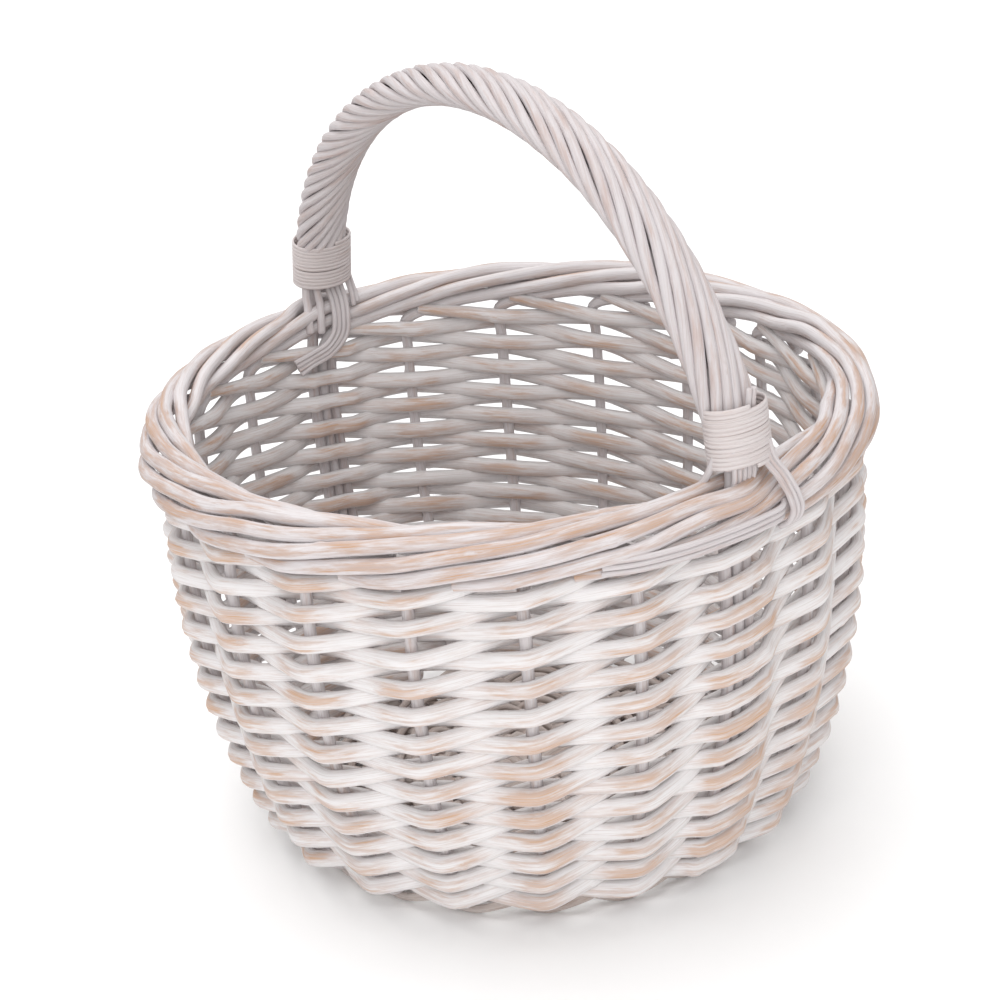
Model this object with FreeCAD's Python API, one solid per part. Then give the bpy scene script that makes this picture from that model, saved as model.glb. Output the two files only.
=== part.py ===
import FreeCAD, Part
import math
import os

# Round willow shopping basket with a fixed roped bow handle, in millimetres.
# +Z is up, z = 0 is the surface that the basket stands on, the middle of the
# base is at x = y = 0, and the handle runs from its foot on +Y to its foot on -Y.

# Driving dimensions
STAKES = 20              # upright rods, evenly round the side
STAKE_DIAMETER = 5.6
WEAVER_DIAMETER = 6.2    # side weavers, one started at each stake
BASE_ROD_DIAMETER = 4.0  # thin weavers of the base
BASE_STICK_DIAMETER = 6.0
BOW_DIAMETER = 6.0       # the core rods of the handle
ROPING_DIAMETER = 4.0    # the rods twisted round the core

BASE_PLANE = 7.4         # height of the middle of the base sticks
FOOT_RADIUS = 125.0      # where the stakes turn up
BELLY_RADIUS = 165.0     # the stakes' widest place
BELLY_HEIGHT = 170.0
FLARE = 0.8              # below 1 the side opens quickly above the foot

STROKES = 24             # strokes a side weaver makes, each past one stake
FIRST_STROKE = 8.5       # first stroke's distance up the side from the base plane
STROKE_RISE = 8.0        # a weaver climbs this much up the side at each stroke

HANDLE_TOP = 373.4       # height of the middle of the bow at its top
HANDLE_SPRING = 215.0    # height of the centre of the bow's half ellipse
HANDLE_REACH = 165.5     # from the basket's axis to the middle of the bow's foot
ROPE_WIDE = 12.0         # centres of the roping rods, across the bow
ROPE_DEEP = 7.6          # and through the bow's thickness
ROPING_RODS = 12
BINDING_LOW = 232.0
BINDING_TURNS = 11
CANE_WIDTH = 2.0

# The border: stakes along it, then the radius and height of the rod's middle
BORDER_COURSE = [(1.0, 159.2, 214.3), (1.5, 157.6, 218.0), (2.0, 158.6, 221.6), (2.5, 162.0, 223.6),
                 (3.0, 165.8, 223.9), (3.5, 169.3, 222.6), (4.0, 172.4, 220.0), (4.5, 174.9, 216.9),
                 (5.0, 176.4, 213.3), (5.5, 176.8, 209.6), (6.0, 175.8, 205.9), (6.4, 173.6, 203.4)]
FOOT_PASSES = {1.0: (158.6, 216.2), 2.0: (158.4, 222.8), 3.0: (173.0, 224.2),
               4.0: (176.0, 218.4), 5.0: (177.3, 212.4), 6.0: (175.8, 206.4)}
FOOT_BEND = [(0.0, 163.0, 197.5), (0.02, 159.4, 205.0), (0.12, 157.4, 209.8), (0.5, 159.2, 211.4)]

STEP = 360.0 / STAKES
FOOT_STAKES = (0, STAKES // 2)  # the handle's feet stand at these stakes
TOUCH = (STAKE_DIAMETER + WEAVER_DIAMETER) / 2 + 0.15


def polar(angle, radius, height):
    """Point at an angle in degrees round the basket's axis."""
    turn = math.radians(angle)
    return FreeCAD.Vector(radius * math.cos(turn), radius * math.sin(turn), height)


def rod(points, diameter, share=0.3):
    """Round rod along straight runs that tangent arcs join, cut square at its ends."""
    edges = []
    start = points[0]
    for before, corner, after in zip(points, points[1:], points[2:]):
        back, ahead = before - corner, after - corner
        cut = share * min(back.Length, ahead.Length)
        back.normalize()
        ahead.normalize()
        half = back.getAngle(ahead) / 2
        middle = (back + ahead).normalize()
        depth = cut / math.cos(half) - cut * math.tan(half)
        edges.append(Part.LineSegment(start, corner + back * cut).toShape())
        start = corner + ahead * cut
        edges.append(Part.Arc(corner + back * cut, corner + middle * depth, start).toShape())
    edges.append(Part.LineSegment(start, points[-1]).toShape())
    end_circle = Part.makeCircle(diameter / 2, points[0], points[1] - points[0])
    return Part.Wire(edges).makePipeShell([Part.Wire([end_circle])], True, False)


def side_radius(height):
    """Radius of the ring of stakes at a height above the floor."""
    share = (height - BASE_PLANE) / (BELLY_HEIGHT - BASE_PLANE)
    return FOOT_RADIUS + (BELLY_RADIUS - FOOT_RADIUS) * math.sin(math.pi / 2 * share**FLARE)


def side_station(distance):
    """Radius, height and outward normal on the side, a distance up it from the base plane."""
    radius, height, walked = FOOT_RADIUS, BASE_PLANE, 0.0
    rise = 0.25
    while walked < distance:
        following = side_radius(height + rise)
        walked += math.hypot(rise, following - radius)
        radius, height = following, height + rise
    slope = side_radius(height + rise) - side_radius(height)
    length = math.hypot(rise, slope)
    return radius, height, rise / length, -slope / length


def stake_angle(number):
    """Stake 0 stands at the handle's foot on +Y."""
    return 90 + STEP * number


def at_side(angle, distance, out):
    """Point on the side, moved out along the side's normal."""
    radius, height, normal_out, normal_up = side_station(distance)
    return polar(angle, radius + out * normal_out, height + out * normal_up)


def border_tail(number):
    """The stake's top, laid down into the plain border.

    It runs behind two stakes, over the top and down outside three more, and is tucked in.
    Where it passes a foot of the handle it goes clear inside or outside the handle's rods.
    """
    tail = []
    if number in FOOT_STAKES:  # round the inside of the handle's rod
        tail += [polar(stake_angle(number - step), radius, height) for step, radius, height in FOOT_BEND]
    else:
        tail += [polar(stake_angle(number), 163.4, 203.5), polar(stake_angle(number - 0.5), 161.8, 210.5)]
    for step, radius, height in BORDER_COURSE:
        if step in FOOT_PASSES and (number - step) % STAKES in FOOT_STAKES:
            radius, height = FOOT_PASSES[step]
        tail.append(polar(stake_angle(number - step), radius, height))
    return tail


def stake(number):
    """Upright rod: its butt lies in the base, its top is worked into the border."""
    angle = stake_angle(number)
    base = [polar(angle, radius, BASE_PLANE) for radius in (98, FOOT_RADIUS - 1)]
    side = [at_side(angle, distance, 0) for distance in (14, 40, 75, 115, 155, 188)]
    return rod(base + side + border_tail(number), STAKE_DIAMETER)


def weaver(number):
    """Side weaver: it goes behind one stake and in front of the next, climbing one stroke at each."""
    points = []
    for stroke in range(STROKES):
        angle = stake_angle(number + stroke)
        distance = FIRST_STROKE + STROKE_RISE * stroke
        inside = stroke % 2 == 0
        if (number + stroke) % STAKES in FOOT_STAKES:  # over the stake and the handle's two rods
            spread = math.degrees(8.0 / side_radius(BASE_PLANE + distance))
            out = -TOUCH - 1.4 if inside else TOUCH + 1.6
            points += [at_side(angle - spread, distance, out), at_side(angle + spread, distance, out)]
        else:
            points.append(at_side(angle, distance, -TOUCH - 1.7 if inside else TOUCH + 3.9))
    start = at_side(stake_angle(number) - STEP / 2, FIRST_STROKE - STROKE_RISE / 4, -3.5)
    end_distance = FIRST_STROKE + STROKE_RISE * (STROKES - 0.5)
    end = at_side(stake_angle(number + STROKES) - STEP / 2, end_distance, 0)
    return rod([start] + points + [end], WEAVER_DIAMETER)


def stick_end_angle(number):
    """The base sticks' ends lie beside the stakes' butts."""
    return stake_angle(number) - 4.0


def base_sticks(through):
    """Five parallel sticks that fan out to the stakes on both sides of the middle."""
    pitch = BASE_STICK_DIAMETER
    sticks = []
    for place in range(-2, 3):
        first = stick_end_angle(place + (0 if through else STAKES // 4))
        last = stick_end_angle(STAKES // 2 - place + (0 if through else STAKES // 4))
        across = FreeCAD.Vector(-place * pitch, 0, 0) if through else FreeCAD.Vector(0, -place * pitch, 0)
        along = FreeCAD.Vector(0, 24, 0) if through else FreeCAD.Vector(-24, 0, 0)
        level = FreeCAD.Vector(0, 0, BASE_PLANE)
        points = [polar(first, 114, BASE_PLANE), across + along + level,
                  across - along + level, polar(last, 114, BASE_PLANE)]
        sticks.append(rod(points, BASE_STICK_DIAMETER))
    return sticks


def base_through_sticks():
    """The five sticks that are pushed through the slits, thinned where they pass."""
    half = 2.5 * BASE_STICK_DIAMETER + 0.5
    thin = Part.makeBox(2 * half, 2 * half, 2.2, FreeCAD.Vector(-half, -half, BASE_PLANE - 1.1))
    around = Part.makeBox(2 * half, 2 * half, 20, FreeCAD.Vector(-half, -half, BASE_PLANE - 10))
    return [solid.cut(around.cut(thin)).Solids[0] for solid in base_sticks(True)]


def base_slit_sticks():
    """The five sticks that are split in the middle, open by the through sticks' thickness."""
    half = 2.5 * BASE_STICK_DIAMETER + 0.5
    slit = Part.makeBox(2 * half, 2 * half, 2.4, FreeCAD.Vector(-half, -half, BASE_PLANE - 1.2))
    return [solid.cut(slit).Solids[0] for solid in base_sticks(False)]


def base_weaver(chase):
    """One of two thin rods that chase each other round the base, over and under the sticks."""
    first_radius, last_radius = 27.0, 110.0
    row = BASE_ROD_DIAMETER + 0.35
    rise = (BASE_STICK_DIAMETER + BASE_ROD_DIAMETER) / 2 + 0.4
    points = []
    for crossing in range(int((last_radius - first_radius) / (2 * row) * STAKES)):
        radius = first_radius + row * chase + 2 * row * crossing / STAKES
        height = BASE_PLANE + (rise if (crossing + chase) % 2 else -rise)
        angle = stick_end_angle(crossing)
        if radius > 92:  # over the stick's end and the stake's butt together
            points += [polar(angle - 1.5, radius, height), polar(angle + 5.0, radius, height)]
        else:
            points.append(polar(angle, radius, height))
    return rod(points, BASE_ROD_DIAMETER)


def foot_pair_rod(turn):
    """One of the pair that is twisted round the stakes where they turn up."""
    points = []
    for half_step in range(2 * STAKES + 1):
        at_stake = half_step % 2 == 0
        reach = (STAKE_DIAMETER + BASE_ROD_DIAMETER) / 2 + 0.6 if at_stake else BASE_ROD_DIAMETER / 2 + 0.5
        phase = math.radians(-90 + 90 * half_step + 180 * turn)
        points.append(polar(stake_angle(half_step / 2), FOOT_RADIUS - 4.5 + reach * math.cos(phase),
                            BASE_PLANE + reach * math.sin(phase)))
    points[-1] = points[-2] + (points[-1] - points[-2]) * 0.7
    return rod(points, BASE_ROD_DIAMETER)


def bow_frame(turn):
    """Middle and outward direction of the bow, turn degrees round from its foot on +Y."""
    angle = math.radians(turn)
    rise = HANDLE_TOP - HANDLE_SPRING
    middle = FreeCAD.Vector(0, HANDLE_REACH * math.cos(angle), HANDLE_SPRING + rise * math.sin(angle))
    outward = FreeCAD.Vector(0, rise * math.cos(angle), HANDLE_REACH * math.sin(angle)).normalize()
    return middle, outward


def bow_rod(place):
    """Core rod of the handle. The outer two run on down the side, each beside a foot stake."""
    shift = FreeCAD.Vector(place * (BOW_DIAMETER + 0.2), 0, 0)
    arch = [bow_frame(turn)[0] + shift for turn in range(6, 175, 12)]
    if place == 0:
        return rod(arch, BOW_DIAMETER, 0.45)
    legs = []
    for angle in (90, -90):
        side = 1 if angle > 0 else -1
        offset = FreeCAD.Vector(place * 6.0, 0, 0)
        leg = [at_side(angle, distance, 0) + offset for distance in (24, 60, 105, 150, 190)]
        legs.append(leg + [FreeCAD.Vector(place * 6.0, side * 165, 222)])
    return rod(legs[0] + arch + legs[1][::-1], BOW_DIAMETER)


def roping_rod(number):
    """Thin rod wound round the core. It turns fast up the +Y leg and slowly down the -Y leg."""
    points = []
    stations = 50
    for station in range(stations + 1):
        share = station / stations
        middle, outward = bow_frame(6 + 168 * share)
        turn = 2 * math.pi * (number / ROPING_RODS + 4.6 * share - 1.5 * share**2)
        turn -= 0.13 * math.sin(2 * turn)  # spreads the rods evenly round the flattened core
        points.append(middle + outward * (ROPE_DEEP * math.cos(turn))
                      + FreeCAD.Vector(-ROPE_WIDE * math.sin(turn), 0, 0))
    return rod(points, ROPING_DIAMETER, 0.4)


def binding(side):
    """Split cane wound round the foot of the handle, turn upon turn, as one ribbed sleeve."""
    height = BINDING_TURNS * CANE_WIDTH
    lower = bow_frame(math.degrees(math.asin((BINDING_LOW - HANDLE_SPRING) / (HANDLE_TOP - HANDLE_SPRING))))
    tilt = math.degrees(math.atan2(lower[1].z, lower[1].y))
    sleeve = []
    for turn in range(BINDING_TURNS):
        ring = Part.Face(Part.Wire([Part.Ellipse(FreeCAD.Vector(0, 0, 0), 15.8, 11.4).toShape()]))
        hole = Part.Face(Part.Wire([Part.Ellipse(FreeCAD.Vector(0, 0, 0), 14.3, 10.0).toShape()]))
        turn_solid = ring.cut(hole).extrude(FreeCAD.Vector(0, 0, CANE_WIDTH))
        edges = [edge for edge in turn_solid.Edges if edge.Length > 70]
        rounded = turn_solid.makeFillet(0.5, edges)
        rounded.translate(FreeCAD.Vector(0, 0, turn * (CANE_WIDTH - 0.05)))
        sleeve.append(rounded)
    solid = sleeve[0].fuse(sleeve[1:])
    solid.rotate(FreeCAD.Vector(0, 0, 0), FreeCAD.Vector(1, 0, 0), tilt)
    solid.translate(lower[0])
    if side < 0:
        solid.rotate(FreeCAD.Vector(0, 0, 0), FreeCAD.Vector(0, 0, 1), 180)
    return solid


def save(node, solids):
    shape = solids[0] if len(solids) == 1 else Part.makeCompound(solids)
    shape.exportStep("parts/" + node + ".step")


os.makedirs("parts", exist_ok=True)
for number in range(STAKES):
    save(f"stake_{number + 1:02d}", [stake(number)])
    save(f"weaver_{number + 1:02d}", [weaver(number)])
save("base_slit_sticks", base_slit_sticks())
save("base_through_sticks", base_through_sticks())
for chase in range(2):
    save(f"base_weaver_{chase + 1}", [base_weaver(chase)])
    save(f"foot_pair_rod_{chase + 1}", [foot_pair_rod(chase)])
for place in (-1, 0, 1):
    save(f"handle_bow_rod_{place + 2}", [bow_rod(place)])
for strand in range(4):
    save(f"handle_roping_{strand + 1}", [roping_rod(3 * strand + part) for part in range(3)])
save("handle_binding_back", [binding(1)])
save("handle_binding_front", [binding(-1)])
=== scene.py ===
import math
import random

import bpy
import numpy as np
from mathutils import Matrix, Vector


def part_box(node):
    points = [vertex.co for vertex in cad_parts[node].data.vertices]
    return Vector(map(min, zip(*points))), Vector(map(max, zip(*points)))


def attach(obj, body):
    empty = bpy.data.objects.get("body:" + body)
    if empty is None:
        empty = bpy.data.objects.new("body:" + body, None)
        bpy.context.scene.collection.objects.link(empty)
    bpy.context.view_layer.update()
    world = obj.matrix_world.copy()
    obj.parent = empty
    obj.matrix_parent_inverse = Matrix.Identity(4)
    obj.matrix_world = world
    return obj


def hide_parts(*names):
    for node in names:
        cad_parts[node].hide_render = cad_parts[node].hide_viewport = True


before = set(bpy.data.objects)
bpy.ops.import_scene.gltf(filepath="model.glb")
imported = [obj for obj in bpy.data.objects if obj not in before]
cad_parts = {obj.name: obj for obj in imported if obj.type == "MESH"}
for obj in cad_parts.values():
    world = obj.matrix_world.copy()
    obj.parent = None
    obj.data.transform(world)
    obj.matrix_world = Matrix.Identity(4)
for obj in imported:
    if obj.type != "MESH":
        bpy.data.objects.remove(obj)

bpy.ops.object.select_all(action="DESELECT")
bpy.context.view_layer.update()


# Camera. It stands in front and a little to the left of the handle's foot, looks
# down into the mouth, and leans slightly to one side.
view_azimuth = math.radians(-36.0)
view_elevation = math.radians(26.35)
view_distance = 1.467
view_lean = math.radians(4.5)
body_middle = Vector((0, 0, 0.1125))
towards_camera = Vector((
    math.sin(view_azimuth) * math.cos(view_elevation),
    -math.cos(view_azimuth) * math.cos(view_elevation),
    math.sin(view_elevation),
))
bpy.ops.object.camera_add()
camera = bpy.context.object
level_turn = (-towards_camera).to_track_quat("-Z", "Y").to_matrix()
camera_turn = level_turn @ Matrix.Rotation(-view_lean, 3, "Z")
aim_across = -0.0110
aim_up = 0.0462
place = body_middle + towards_camera * view_distance
sight = body_middle + camera_turn @ Vector((aim_across, aim_up, 0)) - place
bend_to_sight = (camera_turn @ Vector((0, 0, -1))).rotation_difference(sight).to_matrix()
camera.matrix_world = Matrix.Translation(place) @ (bend_to_sight @ camera_turn).to_4x4()
camera.data.sensor_width = 36.0
camera.data.lens = 105.2
bpy.context.scene.camera = camera


# Side weavers: peeled willow rods in French randing, a little flattened. One rod starts
# at each stake, goes behind one stake and in front of the next, and climbs a little at
# each. They hold by friction alone. Woven rods bend at every crossing, so each mesh is
# laid ring by ring along its rod's own course.
stake_count = 20
stake_step = 360.0 / stake_count
foot_stakes = (0, stake_count // 2)  # the handle's feet stand at these
stake_thick = 0.0056
weaver_thick = 0.0078
weaver_oval = 1.24  # height over depth
base_plane = 0.0074  # height of the middle of the base sticks
foot_radius = 0.125
belly_radius = 0.165
belly_height = 0.170
side_top = 0.235
strokes = 26
first_stroke = 0.0085
stroke_rise = 0.00737
touch = (stake_thick + 0.90 * weaver_thick) / 2  # from a stake's middle to a weaver's


def side_radius(height):
    """Radius of the ring of stakes at a height above the floor."""
    share = (height - base_plane) / (belly_height - base_plane)
    return foot_radius + (belly_radius - foot_radius) * np.sin(math.pi / 2 * share**0.8)


side_heights = np.linspace(base_plane, side_top, 900)
side_radii = side_radius(side_heights)
side_rises = np.gradient(side_radii, side_heights)
side_steps = np.hypot(np.diff(side_heights), np.diff(side_radii))
side_distances = np.concatenate([[0], np.cumsum(side_steps)])


def polar(angle, radius, height):
    """Points at angles in degrees round the basket's axis."""
    turn = np.radians(angle)
    parts = np.broadcast_arrays(radius * np.cos(turn), radius * np.sin(turn), height)
    return np.stack(parts, axis=-1)


def at_side(angle, distance, out):
    """Points on the side, a distance up it from the base, moved out along its normal."""
    radius = np.interp(distance, side_distances, side_radii)
    height = np.interp(distance, side_distances, side_heights)
    rise = np.interp(height, side_heights, side_rises)
    length = np.sqrt(1 + rise**2)
    return polar(angle, radius + out / length, height - out * rise / length)


def stake_angle(number):
    """Stake 0 stands at the handle's foot on +Y."""
    return 90 + stake_step * number


def outward_from_axis(path):
    """Level direction away from the basket's axis at each point."""
    out = path * np.array([1.0, 1.0, 0.0])
    return out / np.linalg.norm(out, axis=1)[:, None]


rod_count = 0


def rod_form(path, out, thick, crown, oval=1.05, sides=12, seed=0):
    """Vertices, faces and grain of one tapering rod along a path.

    out is the direction that its rubbed side faces, thick its diameter and crown how far
    it stands proud, at each point: 1 where that side is rubbed most, -1 where the other
    side is. Each ring is a little uneven, as cut rods are, and small knots stand every
    hand's breadth. Its ends are cut square with a broken edge.
    """
    global rod_count
    rod_count += 1
    chance = random.Random(1000 * seed + rod_count)
    ahead = np.gradient(path, axis=0)
    ahead /= np.linalg.norm(ahead, axis=1)[:, None]
    out = out - np.sum(out * ahead, axis=1)[:, None] * ahead
    out /= np.linalg.norm(out, axis=1)[:, None]
    across = np.cross(ahead, out)
    length = np.concatenate([[0], np.cumsum(np.linalg.norm(np.diff(path, axis=0), axis=1))])
    turn = 2 * math.pi * np.arange(sides) / sides
    radius = np.repeat((np.broadcast_to(thick, len(path)) / 2)[:, None], sides, axis=1)
    phase = [chance.uniform(0, 2 * math.pi) for wave in range(4)]
    radius = radius * (1 + 0.025 * np.sin(length[:, None] * 90 + phase[0] + 2 * turn)
                       + 0.02 * np.sin(length[:, None] * 210 + phase[1] + turn)
                       + 0.02 * np.sin(3 * turn + phase[2]))
    knot = chance.uniform(0.02, 0.09)
    while knot < length[-1]:
        side_of_knot = chance.uniform(0, 2 * math.pi)
        along = np.exp(-((length - knot) / 0.0022) ** 2)[:, None]
        round_rod = np.maximum(np.cos(turn - side_of_knot), 0) ** 3
        radius = radius * (1 + 0.17 * along * round_rod)
        knot += chance.uniform(0.07, 0.15)
    deep = radius * np.cos(turn) / math.sqrt(oval)
    wide = radius * np.sin(turn) * math.sqrt(oval)
    rings = path[:, None] + deep[:, :, None] * out[:, None] + wide[:, :, None] * across[:, None]
    offset = 3.0 * (rod_count % 60) + chance.uniform(0, 1)
    grain = np.stack([np.repeat(length[:, None] + offset, sides, axis=1), deep, wide], axis=-1)
    crowns = np.repeat(np.broadcast_to(crown, len(path))[:, None], sides, axis=1)
    edge = 0.15 * radius[0, 0]
    caps = []
    lip_size = 0.82
    for end, sign in ((0, -1), (-1, 1)):
        middle = path[end] + ahead[end] * sign * edge
        lip = middle + (rings[end] - path[end]) * lip_size
        caps.append((lip, middle))
    vertices = np.concatenate([caps[0][1][None], caps[0][0], rings.reshape(-1, 3),
                               caps[1][0], caps[1][1][None]])
    vertices[:, 2] = np.maximum(vertices[:, 2], 0.0001)  # worn flat where it stands
    start_grain = np.concatenate([[grain[0].mean(0)], grain[0] * [1, lip_size, lip_size]])
    end_grain = np.concatenate([grain[-1] * [1, lip_size, lip_size], [grain[-1].mean(0)]])
    grains = np.concatenate([start_grain, grain.reshape(-1, 3), end_grain])
    all_crowns = np.concatenate([np.zeros(sides + 1), crowns.reshape(-1), np.zeros(sides + 1)])
    count = len(path) + 2
    here = 1 + np.arange(count - 1)[:, None] * sides + np.arange(sides)[None]
    beside = 1 + np.arange(count - 1)[:, None] * sides + (np.arange(sides)[None] + 1) % sides
    quads = np.stack([here, beside, beside + sides, here + sides], axis=-1).reshape(-1, 4)
    last = len(vertices) - 1
    last_ring = 1 + (count - 1) * sides
    first_fan = [(0, 1 + (j + 1) % sides, 1 + j) for j in range(sides)]
    last_fan = [(last, last_ring + j, last_ring + (j + 1) % sides) for j in range(sides)]
    return vertices, quads, first_fan + last_fan, grains, all_crowns


def rods_piece(name, rods, finish, replaced):
    """One named piece out of the forms of its rods, riding where its CAD nodes are."""
    corners = []
    sizes = []
    points = []
    grains = []
    crowns = []
    start = 0
    for vertices, quads, fans, grain, crown in rods:
        corners += [(quads + start).reshape(-1), (np.array(fans) + start).reshape(-1)]
        sizes += [np.full(len(quads), 4), np.full(len(fans), 3)]
        points.append(vertices)
        grains.append(grain)
        crowns.append(crown)
        start += len(vertices)
    corners = np.concatenate(corners)
    sizes = np.concatenate(sizes)
    points = np.concatenate(points)
    mesh = bpy.data.meshes.new(name)
    mesh.vertices.add(len(points))
    mesh.vertices.foreach_set("co", points.astype(np.float32).reshape(-1))
    mesh.loops.add(len(corners))
    mesh.loops.foreach_set("vertex_index", corners.astype(np.int32))
    mesh.polygons.add(len(sizes))
    mesh.polygons.foreach_set("loop_start", (np.cumsum(sizes) - sizes).astype(np.int32))
    mesh.update(calc_edges=True)
    along = mesh.attributes.new("along_rod", "FLOAT_VECTOR", "POINT")
    along.data.foreach_set("vector", np.concatenate(grains).astype(np.float32).reshape(-1))
    proud = mesh.attributes.new("crown", "FLOAT", "POINT")
    proud.data.foreach_set("value", np.concatenate(crowns).astype(np.float32))
    piece = bpy.data.objects.new(name, mesh)
    bpy.context.scene.collection.objects.link(piece)
    bpy.ops.object.select_all(action="DESELECT")
    piece.select_set(True)
    bpy.context.view_layer.objects.active = piece
    bpy.ops.object.shade_smooth_by_angle(angle=math.radians(50))
    mesh.materials.append(finish)
    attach(piece, "root")
    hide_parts(*replaced)


def linear(colour):
    """Linear RGBA of an sRGB hex colour."""
    parts = [int(colour[i:i + 2], 16) / 255 for i in (1, 3, 5)]
    return [p / 12.92 if p <= 0.04045 else ((p + 0.055) / 1.055) ** 2.4 for p in parts] + [1.0]


def add(material, kind, settings=None, inputs=None, result=0):
    """Adds a node with its settings, and gives its output.

    Each input takes another node's output or a plain value.
    """
    node = material.node_tree.nodes.new(kind)
    for name, value in (settings or {}).items():
        setattr(node, name, value)
    for name, value in (inputs or {}).items():
        if isinstance(value, bpy.types.NodeSocket):
            material.node_tree.links.new(value, node.inputs[name])
        else:
            node.inputs[name].default_value = value
    return node.outputs[result]


def whitewashed_willow(name, paint, washed, bare, rubbed):
    """Peeled willow brushed with thin chalky white paint and rubbed back.

    The paint is matt. It stays thick along a rod's sides and where rods meet, lies thin
    and pinkish on its faces, and is rubbed through to tan wood in streaks on its crowns.
    paint, washed and bare are those three colours, and rubbed says how much wood shows.
    """
    material = bpy.data.materials.new(name)
    material.use_nodes = True
    shader = material.node_tree.nodes["Principled BSDF"]
    along = add(material, "ShaderNodeAttribute", {"attribute_name": "along_rod"}, None, "Vector")
    crown = add(material, "ShaderNodeAttribute", {"attribute_name": "crown"}, None, "Fac")
    streaks = []
    for scale, detail, roughness in (
        ((33, 2000, 2000), 3.0, 0.6),  # wood fibres: 0.5 mm across the rod and 30 mm along it
        ((50, 500, 500), 4.0, 0.62),  # brush marks of paint: 2 mm across and 20 mm along
        ((17, 60, 60), 2.0, 0.5),  # places that took more or less paint: 60 mm long
    ):
        place = add(material, "ShaderNodeMapping", None, {"Vector": along, "Scale": scale}, "Vector")
        streaks.append(add(material, "ShaderNodeTexNoise", None, {
            "Vector": place, "Scale": 1.0, "Detail": detail, "Roughness": roughness}, "Fac"))
    fibres, brushed, coat = streaks

    # how far a place faces out: 1 on the outer face of a 6 mm rod, -1 on its inner face
    deep = add(material, "ShaderNodeSeparateXYZ", None, {"Vector": along}, "Y")
    facing = add(material, "ShaderNodeMath", {"operation": "MULTIPLY"}, {0: deep, 1: 330.0})
    proud = add(material, "ShaderNodeMath", {"operation": "MULTIPLY"}, {0: crown, 1: facing})
    either_face = add(material, "ShaderNodeMath", {"operation": "ABSOLUTE"}, {0: facing})
    smooth = {"interpolation_type": "SMOOTHSTEP"}
    proud_face = add(material, "ShaderNodeMapRange", smooth,
                     {"Value": proud, "From Min": 0.0, "From Max": 0.9}, "Result")
    face = add(material, "ShaderNodeMapRange", smooth,
               {"Value": either_face, "From Min": 0.1, "From Max": 0.9}, "Result")

    sums = []
    for shares in (
        ((brushed, 1.25), (coat, 1.0), (face, 0.10), (proud_face, 0.20), (fibres, 0.22)),
        ((proud_face, 0.27), (brushed, 0.9), (fibres, 0.25), (coat, 0.75)),
        ((fibres, 1.0), (brushed, 1.2)),
    ):
        total = 0.0
        for value, weight in shares:
            total = add(material, "ShaderNodeMath", {"operation": "MULTIPLY_ADD"},
                        {0: value, 1: weight, 2: total})
        sums.append(total)
    thin, worn, relief = sums

    washed_share = add(material, "ShaderNodeMapRange", smooth,
                       {"Value": thin, "From Min": 1.28, "From Max": 1.68}, "Result")
    worn_through = add(material, "ShaderNodeMapRange", smooth,
                       {"Value": worn, "From Min": 1.40 - rubbed, "From Max": 1.66 - rubbed}, "Result")
    on_fibres = add(material, "ShaderNodeMapRange", smooth,
                    {"Value": fibres, "From Min": 0.25, "From Max": 0.75}, "Result")
    bare_share = add(material, "ShaderNodeMath", {"operation": "MULTIPLY"}, {0: worn_through, 1: on_fibres})
    coated = add(material, "ShaderNodeMix", {"data_type": "RGBA"},
                 {"Factor": washed_share, "A": linear(paint), "B": linear(washed)}, "Result")
    coloured = add(material, "ShaderNodeMix", {"data_type": "RGBA"},
                   {"Factor": bare_share, "A": coated, "B": linear(bare)}, "Result")

    # dirt in the hollows between fibres
    hollow = add(material, "ShaderNodeMapRange", smooth,
                 {"Value": fibres, "From Min": 0.56, "From Max": 0.30}, "Result")
    hollow_share = add(material, "ShaderNodeMath", {"operation": "MULTIPLY"}, {0: hollow, 1: 0.5})
    colour = add(material, "ShaderNodeMix", {"data_type": "RGBA", "blend_type": "MULTIPLY"},
                 {"Factor": hollow_share, "A": coloured, "B": linear("#DCCFCA")}, "Result")
    rough = add(material, "ShaderNodeMapRange", None,
                {"Value": fibres, "To Min": 0.62, "To Max": 0.85}, "Result")
    bump = add(material, "ShaderNodeBump", None,
               {"Height": relief, "Strength": 0.8, "Distance": 0.0003}, "Normal")
    for name_of_input, source in (("Base Color", colour), ("Roughness", rough), ("Normal", bump)):
        material.node_tree.links.new(source, shader.inputs[name_of_input])
    shader.inputs["IOR"].default_value = 1.42
    return material


side_willow = whitewashed_willow("side_willow_whitewashed_brushed",
                                 "#E6E3E3", "#D6C9C4", "#C89F7E", 0.25)


def weaver_wave(t, number):
    """Out-and-in course of a rod: 1 outside the stakes, -1 inside, bent sharply at each.

    It stays flat across a handle foot, where three rods stand side by side.
    """
    wave = -np.cos(math.pi * t)
    near = np.round(t).astype(int)
    at_foot = np.isin((number + near) % stake_count, foot_stakes)
    wave = np.where(at_foot, np.clip(1.4 * wave, -1, 1), wave)
    return np.arcsin(0.94 * wave) / math.asin(0.94)


def uneven(chance, t, size):
    """Smooth chance offsets along a rod, one at each stake."""
    places = np.arange(math.floor(t[0]) - 1, math.ceil(t[-1]) + 2)
    values = np.array([chance.uniform(-size, size) for place in places])
    share = t - np.floor(t)
    low = np.floor(t).astype(int) - places[0]
    return values[low] + (values[low + 1] - values[low]) * (1 - np.cos(math.pi * share)) / 2


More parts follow.
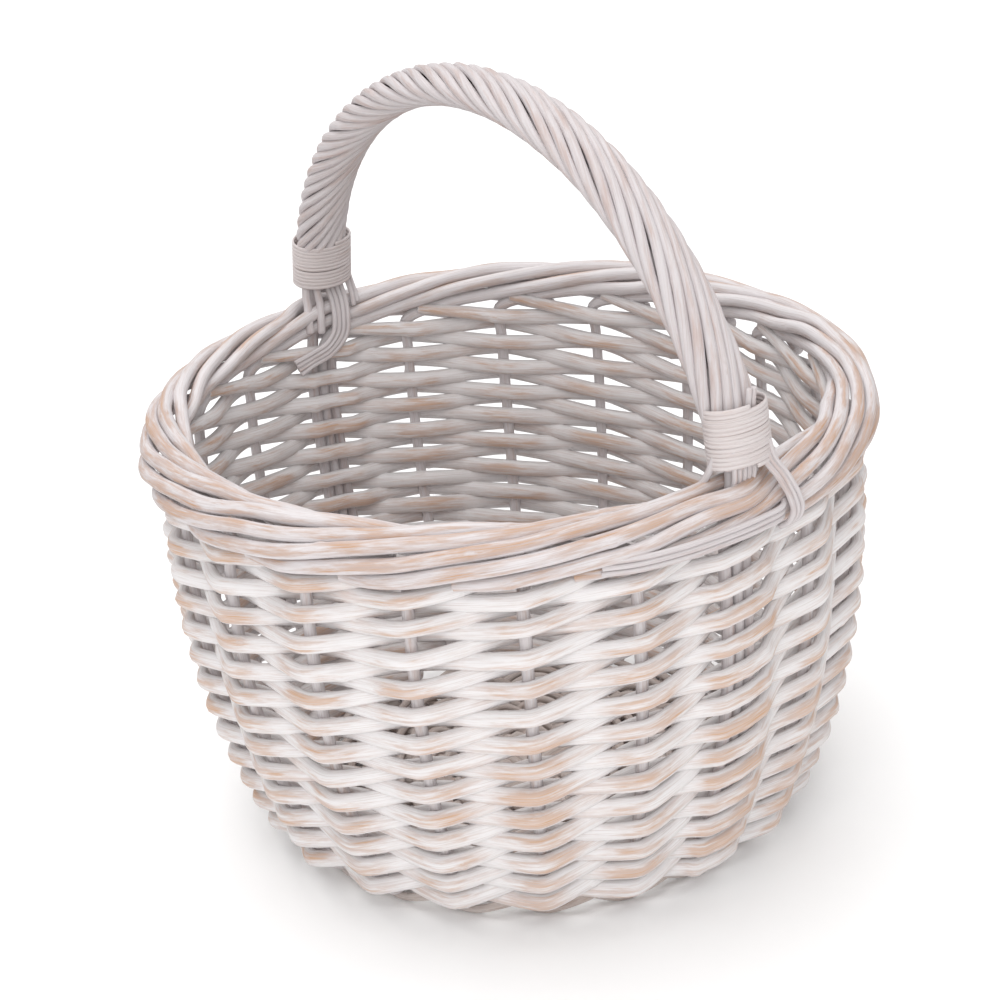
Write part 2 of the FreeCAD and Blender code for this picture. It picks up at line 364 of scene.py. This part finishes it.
points_per_stroke = 22
tail_at_start = 0.4  # strokes
tail_at_end = 0.88
for number in range(stake_count):
    chance = random.Random(40 + number)
    t = np.arange(-tail_at_start, strokes + tail_at_end, 1 / points_per_stroke)
    wave = np.where(t > strokes, -1.0, weaver_wave(t, number))
    from_middle = np.radians(stake_step) * np.abs(t - np.floor(t) - 0.5)
    chord = math.cos(math.radians(stake_step / 2)) / np.cos(from_middle)
    pulled_straight = 1 - 0.75 * (1 - chord / chord.max())
    past_top = np.clip(t - strokes, 0, 1)  # here it thins out and is tucked in under the border
    distance = first_stroke + stroke_rise * t + 0.004 * past_top + uneven(chance, t, 0.0006)
    out = touch * (wave + 0.7 * past_top) + uneven(chance, t, 0.0002)
    path = at_side(stake_angle(number + t), distance, out)
    path[:, :2] *= pulled_straight[:, None]
    thick = weaver_thick * (1.04 - 0.08 * t / strokes - 0.4 * past_top) * chance.uniform(0.97, 1.04)
    form = rod_form(path, outward_from_axis(path), thick, wave, weaver_oval, seed=1)
    rods_piece(f"side_weaver_{number + 1:02d}", [form], side_willow,
               [f"weaver_{number + 1:02d}"])


# Stakes and border: each stake is one rod. Its butt lies in the base, it is bent up at
# the foot, and its top is laid down into the plain border at the rim: inside two stakes,
# over the top, outside the next ones, and tucked in.
border_thick = 0.0069


def smooth_line(points, spacing=0.0022):
    """Evenly spaced points on a smooth line through the given ones."""
    points = np.array(points, float)
    knots = np.concatenate([[0], np.cumsum(np.linalg.norm(np.diff(points, axis=0), axis=1) ** 0.5)])
    slopes = np.gradient(points, knots, axis=0)
    line = []
    for i in range(len(points) - 1):
        run = knots[i + 1] - knots[i]
        u = np.linspace(0, 1, 24, endpoint=False)[:, None]
        line.append((2 * u**3 - 3 * u**2 + 1) * points[i] + (u**3 - 2 * u**2 + u) * run * slopes[i]
                    + (3 * u**2 - 2 * u**3) * points[i + 1] + (u**3 - u**2) * run * slopes[i + 1])
    line = np.concatenate(line + [points[-1:]])
    walked = np.concatenate([[0], np.cumsum(np.linalg.norm(np.diff(line, axis=0), axis=1))])
    even = np.linspace(0, walked[-1], int(walked[-1] / spacing) + 2)
    return np.stack([np.interp(even, walked, line[:, axis]) for axis in range(3)], axis=-1)


border_willow = whitewashed_willow("border_willow_whitewashed_brushed",
                                   "#D9D4D5", "#C9BAB5", "#BF9676", 0.24)
# stakes along the border, and the radius and height of the rod's middle
border_course = [(1.0, 0.1592, 0.2143), (1.5, 0.1576, 0.2180), (2.0, 0.1586, 0.2216),
                 (2.5, 0.1620, 0.2236), (3.0, 0.1658, 0.2239), (3.5, 0.1693, 0.2226),
                 (4.0, 0.1724, 0.2200), (4.5, 0.1749, 0.2169), (5.0, 0.1764, 0.2133),
                 (5.5, 0.1768, 0.2096), (6.0, 0.1754, 0.2058), (6.3, 0.1722, 0.2030),
                 (6.55, 0.1680, 0.2012)]
# where it passes a foot of the handle it goes clear inside or outside the handle's rods
foot_passes = {1.0: (0.1586, 0.2162), 2.0: (0.1584, 0.2228), 3.0: (0.1730, 0.2242),
               4.0: (0.1760, 0.2184), 5.0: (0.1773, 0.2124), 6.0: (0.1758, 0.2064)}
plain_bend = [(0.0, 0.1634, 0.2035), (0.5, 0.1618, 0.2105)]
foot_bend = [(0.0, 0.1630, 0.1975), (0.02, 0.1594, 0.2050), (0.12, 0.1574, 0.2098),
             (0.5, 0.1592, 0.2114)]
for number in range(stake_count):
    chance = random.Random(80 + number)
    angle = stake_angle(number)
    base_points = [polar(angle, radius, base_plane) for radius in (0.098, foot_radius - 0.001)]
    side_points = [at_side(angle, distance, 0.0)
                   for distance in (0.014, 0.040, 0.075, 0.115, 0.155, 0.188)]
    bend = foot_bend if number in foot_stakes else plain_bend
    course = []
    for step, radius, height in bend + border_course:
        if step in foot_passes and (number - step) % stake_count in foot_stakes:
            radius, height = foot_passes[step]
        if step >= 1:
            radius += chance.uniform(-0.0008, 0.0008)
            height += chance.uniform(-0.0009, 0.0009)
        course.append(polar(stake_angle(number - step), radius, height))
    path = smooth_line(base_points + side_points + course)
    in_border = np.linspace(0, 1, len(path)) > 0.8
    height = path[:, 2]
    thick = np.interp(height, [0, 0.200, 0.214], [stake_thick, stake_thick, border_thick])
    thick = np.where(in_border, border_thick, thick) * chance.uniform(0.95, 1.05)
    crown = np.interp(height, [0, 0.204, 0.216], [0.0, 0.0, 0.9])
    crown = np.where(in_border, 0.9, crown)
    rubbed_up = np.interp(height, [0.2, 0.215], [0, 0.9])[:, None]
    rubbed_side = outward_from_axis(path) + np.array([0, 0, 1.0]) * rubbed_up
    form = rod_form(path, rubbed_side, thick, crown, seed=2)
    rods_piece(f"side_stake_{number + 1:02d}", [form], border_willow,
               [f"stake_{number + 1:02d}"])


# Base: five sticks pushed through slits in five others, fanned out, with two thin
# weavers chasing each other over and under them out to the foot.
base_stick_thick = 0.0060
base_rod_thick = 0.0040
# The base's colours are darker and browner than the side's. Partly this is a plainer, dirtier coat, and
# partly it is painted shade: the dimness of the basket's inside is laid into the colour.
base_willow_dirt_and_painted_shade = whitewashed_willow("base_willow_whitewashed_plain",
                                 "#C9BFBA", "#B3A29A", "#A88766", 0.24)


def stick_end_angle(number):
    """The base sticks' ends lie beside the stakes' butts."""
    return stake_angle(number) - 4.0


def base_stick(place, through):
    """Path of one base stick, fanned out from the crossing to its two ends."""
    quarter = 0 if through else stake_count // 4
    first = stick_end_angle(place + quarter)
    last = stick_end_angle(stake_count // 2 - place + quarter)
    aside = -place * base_stick_thick
    across = np.array([aside, 0, 0]) if through else np.array([0, aside, 0])
    along = np.array([0, 0.024, 0]) if through else np.array([-0.024, 0, 0])
    level = np.array([0, 0, base_plane])
    return smooth_line([polar(first, 0.114, base_plane), polar(first, 0.07, base_plane),
                        across + along + level, across - along + level,
                        polar(last, 0.07, base_plane), polar(last, 0.114, base_plane)], 0.004)


up = np.array([0.0, 0.0, 1.0])
for node, through in (("base_slit_sticks", False), ("base_through_sticks", True)):
    forms = []
    for place in range(-2, 3):
        path = base_stick(place, through)
        in_slit = np.linalg.norm(path[:, :2], axis=1) < 0.0155
        thick = np.where(in_slit, 0.0022 if through else base_stick_thick, base_stick_thick)
        upward = np.broadcast_to(up, path.shape)
        forms.append(rod_form(path, upward, thick, 0.2, oval=1.0, seed=3))
    rods_piece(node.replace("base_", "base_willow_"), forms, base_willow_dirt_and_painted_shade, [node])

first_radius = 0.027
last_radius = 0.110
row = base_rod_thick + 0.00015
lift = (base_stick_thick + base_rod_thick) / 2
crossings = int((last_radius - first_radius) / (2 * row) * stake_count)
for chase in range(2):
    points = []
    for crossing in range(crossings):
        radius = first_radius + row * chase + 2 * row * crossing / stake_count
        height = base_plane + (lift if (crossing + chase) % 2 else -lift)
        angle = stick_end_angle(crossing)
        if radius > 0.092:
            points += [polar(angle - 1.5, radius, height), polar(angle + 5.0, radius, height)]
        else:
            points.append(polar(angle, radius, height))
    path = smooth_line(points, 0.0026)
    form = rod_form(path, np.broadcast_to(up, path.shape), base_rod_thick, 0.5, sides=10, seed=4)
    rods_piece(f"base_chasing_weaver_{chase + 1}", [form], base_willow_dirt_and_painted_shade,
               [f"base_weaver_{chase + 1}"])


# Foot: a pair of thin rods twisted round each stake where it turns up, which locks the
# stakes to the base.
for turn in range(2):
    points = []
    for half_step in range(2 * stake_count + 1):
        between = stake_thick if half_step % 2 == 0 else 0.0
        reach = (between + base_rod_thick) / 2 + 0.0004
        phase = math.radians(-90 + 90 * half_step + 180 * turn)
        points.append(polar(stake_angle(half_step / 2), foot_radius - 0.0045 + reach * math.cos(phase),
                            base_plane + reach * math.sin(phase)))
    path = smooth_line(points, 0.0026)[:-3]
    form = rod_form(path, outward_from_axis(path), base_rod_thick, 0.6, sides=10, seed=5)
    # These rods take the base's finish, so their colour carries the same painted shade.
    rods_piece(f"foot_twisted_rod_{turn + 1}", [form], base_willow_dirt_and_painted_shade,
               [f"foot_pair_rod_{turn + 1}"])


# Handle core: three stout rods side by side, bent into a bow. The outer two run on
# down the side, one each side of the foot stakes, and the weave grips them.
bow_thick = 0.0060
handle_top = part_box("handle_roping_1")[1].z - 0.0096
handle_spring = 0.215
handle_reach = 0.1655
leg_aside = 0.006  # from the foot stake's middle to the core rod beside it
handle_lean = 0.0062
handle_willow = whitewashed_willow("handle_willow_whitewashed_brushed",
                                   "#CFC9CA", "#C3B3AF", "#B08C72", 0.17)


def lean(height):
    """How far the handle stands over towards +X: it leaves the rim a little to one side."""
    share = np.clip((height - 0.228) / (handle_top - 0.228), 0, 1)
    return np.interp(height, [0.195, 0.228], [0.0, handle_lean]) * (1 - share) ** 2


def bow_frame(turn):
    """Middle and outward direction of the bow, turn degrees round from its foot on +Y."""
    angle = np.radians(turn)
    rise = handle_top - handle_spring
    height = handle_spring + rise * np.sin(angle)
    middle = np.stack([lean(height), handle_reach * np.cos(angle), height], axis=-1)
    outward = np.stack([0 * angle, rise * np.cos(angle), handle_reach * np.sin(angle)], axis=-1)
    return middle, outward / np.linalg.norm(outward, axis=-1, keepdims=True)


for place in (-1, 0, 1):
    arch = bow_frame(np.arange(6.0, 175.0, 12.0))[0] + np.array([place * (bow_thick + 0.0002), 0, 0])
    points = list(arch)
    if place:
        beside = np.array([place * leg_aside, 0, 0])
        legs = []
        for angle in (90, -90):
            leg = [at_side(angle, distance, 0.0) + beside
                   for distance in (0.024, 0.060, 0.105, 0.150, 0.190)]
            leg.append(np.array([lean(0.222), math.copysign(0.165, angle), 0.222]) + beside)
            legs.append(leg)
        points = legs[0] + points + legs[1][::-1]
    path = smooth_line(points, 0.003)
    nudged = path + np.array([1e-5, 0, 0])  # the middle rod crosses the basket's axis
    form = rod_form(path, outward_from_axis(nudged), bow_thick, 0.0, oval=1.0, seed=6)
    rods_piece(f"handle_core_rod_{place + 2}", [form], handle_willow,
               [f"handle_bow_rod_{place + 2}"])


# Roping: twelve thin rods in four groups of three, wound round the core. They turn fast
# up the +Y leg and over the top, and slowly down the -Y leg, where gaps open. Below the
# bindings their thin tips come out as tails that are worked into the border and cut.
rope_wide = 0.0120  # from the bow's middle to a rod's, across the handle
rope_deep = 0.0076  # and through its depth
tip_thick = 0.0027


def tail(points, side, thick=tip_thick):
    """Form of one tail: points are across the handle, out from the axis, and height, in mm."""
    path = smooth_line([(across / 1000, side * out / 1000, height / 1000)
                        for across, out, height in points], 0.0016)
    path[:, 0] += lean(path[:, 2])
    facing_out = np.array([0.0, side, 0.6]) if points[-1][1] > 163 else np.array([0.0, -side, 0.6])
    return rod_form(path, np.broadcast_to(facing_out, path.shape), thick, 0.5, oval=1.0, sides=10, seed=9)


def back_bundle():
    """Four tips that come down inside the border and turn along it."""
    forms = []
    for i in range(4):
        x = -1 + 2.8 * i
        forms.append(tail([(x, 160.5, 243), (x, 158.0, 232), (x, 152.6, 219),
                           (x - 0.8, 151.6, 212 - 1.2 * i),
                           (x - 5 - 1.5 * i, 151.6, 207 - 2.2 * i), (-14, 151.9, 204.5 - 2.4 * i),
                           (-25 + 1.5 * i, 152.6, 202 - 2.5 * i)], 1))
    return forms


def back_stubs():
    """Stouter ends beside the bundle, cut off where they meet the border."""
    return [tail([(-11.5, 160.5, 242), (-13.5, 160.5, 231), (-14.5, 157.5, 222), (-14, 155.5, 214)],
                 1, 0.0045),
            tail([(-7, 159, 242), (-8, 157.5, 231), (-8.5, 154.6, 221), (-8, 154, 213)], 1, 0.0042),
            tail([(11.5, 160, 242), (12, 157.5, 231), (12.3, 154.5, 222)], 1),
            tail([(14.3, 161, 242), (15, 159, 231), (15.2, 155.6, 223)], 1)]


def front_tips():
    """Five tips straight down beside the core, one to the left, and two ends that point up."""
    forms = [tail([(x, 171.5, 243), (x, 171.0, 231), (x * 0.97, 169.2, 222), (x * 0.95, 168.6, 210)],
                  -1) for x in (-9.5, -6.7, -3.9, -1.1, 1.7)]
    forms.append(tail([(-13.5, 165, 243), (-16, 162, 233), (-19.5, 157.5, 224), (-22, 154.6, 220)],
                      -1, 0.0034))
    for x in (2.0, 4.8):
        forms.append(tail([(x, 170.0, 252), (x + 0.8, 170.2, 261), (x + 1.9, 170.9, 269)], -1))
    return forms


def front_ribbon():
    """Three tips laid side by side across the border, and three more that run along it."""
    forms = []
    for i in range(3):
        x = 5.6 + 2.7 * i
        forms.append(tail([(x, 172.0, 243), (x + 1.0, 174.5, 233), (x + 5.5, 179.4, 223.5),
                           (x + 9.5, 181.6, 216), (x + 12.5, 181.6, 209), (x + 13.5, 178.6, 203),
                           (x + 13.5, 173.5, 199)], -1))
        angle = [-90 + turn for turn in (5.2, 3.5, 0.0, -6.0, -13.0, -20.0, -25.0)]
        out = (177.5, 181.6, 182.3, 182.2, 182.0, 181.0, 178.0)
        fall = (0.0, 0.3, 0.8, 1.6, 2.6, 3.6, 4.2)
        run = []
        for a, r, f in zip(angle, out, fall):
            turned = math.radians(a)
            run.append((r * math.cos(turned), -r * math.sin(turned), 213.4 - 2.7 * i - f))
        forms.append(tail(run, -1))
    return forms


tails = (back_bundle, back_stubs, front_tips, front_ribbon)
roping_start = 8.5  # degrees round the bow, hidden under the back binding
roping_sweep = 165
for strand in range(4):
    forms = []
    for part in range(3):
        number = 3 * strand + 1 + (part - 1) * 0.95
        share = np.linspace(0, 1, 230)
        middle, outward = bow_frame(roping_start + roping_sweep * share)
        turn = 2 * math.pi * (number / 12 + 4.6 * share - 1.5 * share**2)
        turn -= 0.13 * np.sin(2 * turn)
        around = outward * np.cos(turn)[:, None] + np.array([-1.0, 0, 0]) * np.sin(turn)[:, None]
        path = middle + outward * (rope_deep * np.cos(turn))[:, None]
        path[:, 0] -= rope_wide * np.sin(turn)
        thick = np.interp(share, [0, 0.5, 1], [0.0044, 0.0049, 0.0053])
        forms.append(rod_form(path, around, thick, 0.35, oval=1.0, seed=7))
    rods_piece(f"handle_roping_rods_{strand + 1}", forms + tails[strand](), handle_willow,
               [f"handle_roping_{strand + 1}"])


# Bindings: a long strip of split cane wound tightly round each foot of the handle, turn
# upon turn, which holds the roping to the core above the border.
binding_pitch = 0.00197
binding_deep = 0.0112 * 1.04  # from the handle's middle to the strip's, through its depth
binding_wide = 0.0154 * 1.04  # and across it
cane_thick = 0.0017
cane_oval = 1.65
cane = whitewashed_willow("split_cane_whitewashed", "#D4CCCB", "#C8B9B4", "#B89B84", 0.06)
across_handle = np.array([1.0, 0, 0])
for name, side, binding_low, binding_turns in (("back", 1, 0.2372, 12.5), ("front", -1, 0.2322, 14.0)):
    lower = math.degrees(math.asin((binding_low - handle_spring) / (handle_top - handle_spring)))
    middle, outward = bow_frame(np.array([lower]))
    climb = np.cross(outward[0], -across_handle)
    turn = np.arange(0, binding_turns * 2 * math.pi, math.radians(6.5))
    around = np.cos(turn)[:, None] * outward[0] + np.sin(turn)[:, None] * across_handle
    lay = binding_pitch * turn / (2 * math.pi) + uneven(random.Random(7), turn / 2.2, 0.0003)
    path = (middle[0] + (binding_deep * np.cos(turn))[:, None] * outward[0]
            + (binding_wide * np.sin(turn))[:, None] * across_handle
            + (0.001 + lay)[:, None] * climb)
    path[:, 1] *= side
    around[:, 1] *= side
    form = rod_form(path, around, cane_thick, 0.2, cane_oval, sides=10, seed=8)
    rods_piece(f"cane_binding_{name}", [form], cane, [f"handle_binding_{name}"])


# Studio: a pale seamless floor, an even white surround, a large soft lamp to the left of
# the camera and a larger one overhead.
bpy.ops.mesh.primitive_plane_add(size=30.0, location=(0, 0, 0))
floor = bpy.context.object
floor.name = "studio_floor"
floor_finish = bpy.data.materials.new("floor_paper_matt")
floor_finish.use_nodes = True
floor_shader = floor_finish.node_tree.nodes["Principled BSDF"]
floor_shader.inputs["Base Color"].default_value = linear("#FFFFFF")
floor_shader.inputs["Roughness"].default_value = 0.9
floor.data.materials.append(floor_finish)

surround = bpy.data.worlds.new("white_surround")
bpy.context.scene.world = surround
bpy.context.scene.view_settings.view_transform = "Standard"
surround.use_nodes = True
surround.node_tree.nodes["Background"].inputs["Color"].default_value = (1, 1, 1, 1)
surround.node_tree.nodes["Background"].inputs["Strength"].default_value = 0.55


def soft_lamp(name, place, size, power):
    """Square soft box that points at the basket's middle."""
    bpy.ops.object.light_add(type="AREA", location=place)
    lamp = bpy.context.object
    lamp.name = name
    lamp.data.size = size
    lamp.data.energy = power
    lamp.rotation_mode = "QUATERNION"
    lamp.rotation_quaternion = (body_middle - Vector(place)).to_track_quat("-Z", "Y")


soft_lamp("front_soft_box", (-1.5, -1.8, 1.6), 2.2, 34)
soft_lamp("overhead_soft_box", (0.2, 0.8, 3.6), 4.0, 105)
